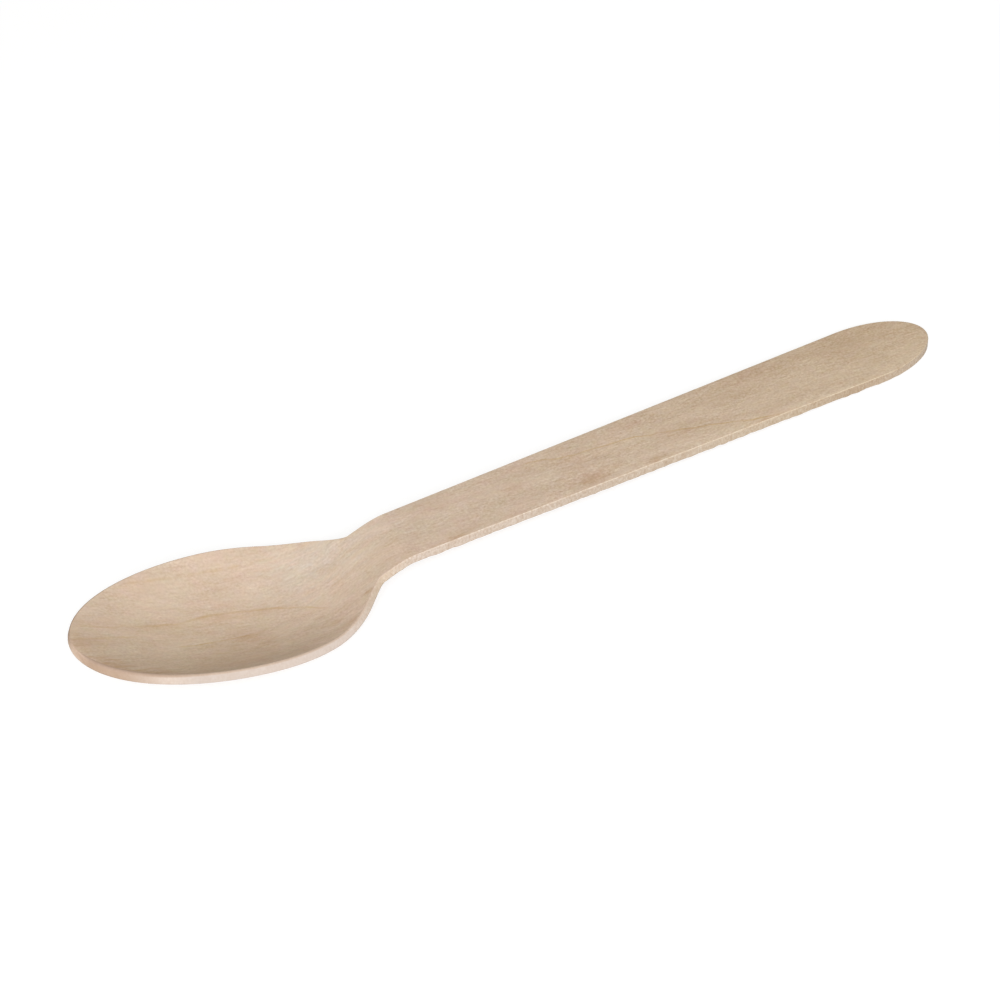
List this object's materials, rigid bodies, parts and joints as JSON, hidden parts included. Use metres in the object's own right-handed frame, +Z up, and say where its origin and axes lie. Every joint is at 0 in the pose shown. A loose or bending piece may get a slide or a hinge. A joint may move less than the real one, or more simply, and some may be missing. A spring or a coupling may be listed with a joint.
{
  "type": "disposable wooden spoon",
  "caption": "Disposable spoon pressed from a single sheet of birch veneer, with an oval hollowed bowl, a bent neck and a flat handle with a rounded end.",
  "frame": {"origin": "on the table, below the middle of the lying spoon's box", "axes": "+X along the spoon from the tip of the bowl to the end of the handle, +Z up out of the bowl"},
  "size_m": [0.165, 0.0316, 0.0134],
  "materials": {
    "birch_veneer": "matte, sanded and uncoated"
  },
  "bodies": {
    "root": {"spoon": "birch_veneer"}
  },
  "joints": []
}
